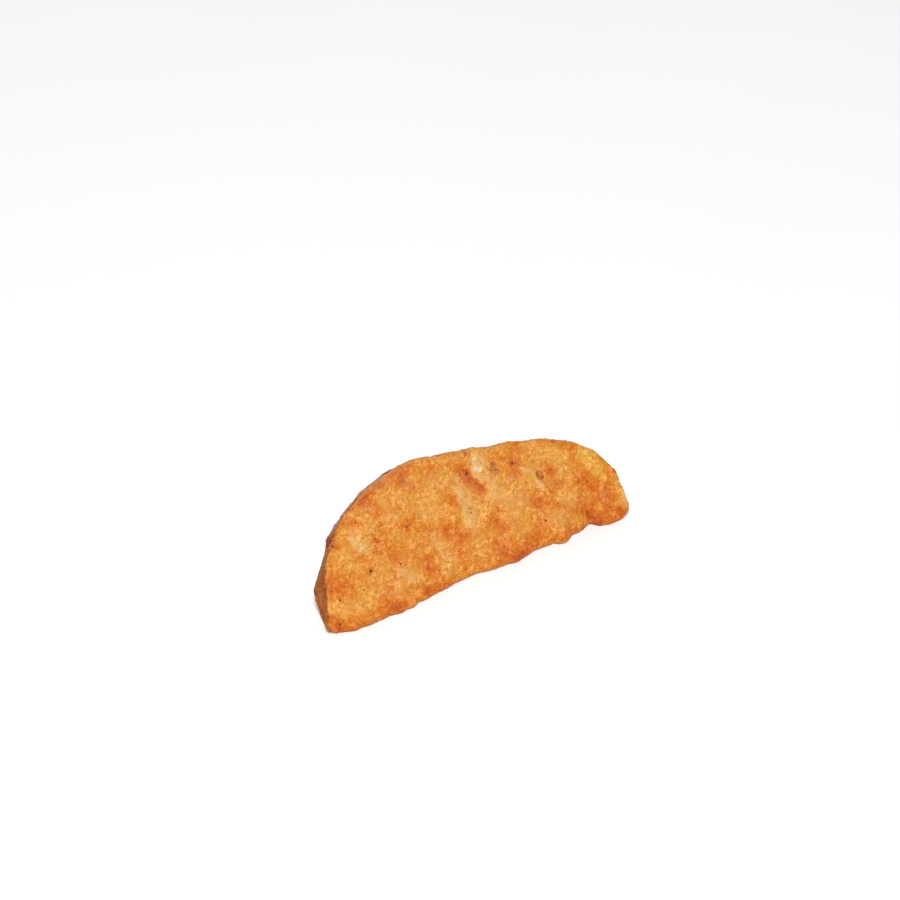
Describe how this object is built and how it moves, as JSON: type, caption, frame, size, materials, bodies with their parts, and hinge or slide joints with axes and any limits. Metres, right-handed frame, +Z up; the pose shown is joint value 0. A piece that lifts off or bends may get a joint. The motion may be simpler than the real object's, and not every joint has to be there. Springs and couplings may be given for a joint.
{
  "type": "seasoned potato wedge",
  "caption": "Fried, seasoned potato wedge with its skin on, cut from a whole potato, lying on one cut face.",
  "frame": {"origin": "middle of the wedge's footprint box, on the surface it lies on", "axes": "+X along the core edge towards the notched end, +Y from the core edge towards the skin, +Z up, out of the cut face that the wedge lies on"},
  "size_m": [0.0764, 0.0282, 0.0228],
  "materials": {
    "fried_coating": "golden fried coating with paprika and pepper, slightly oily, browner on the skin side"
  },
  "bodies": {
    "root": {"potato_wedge": "fried_coating"}
  },
  "joints": []
}
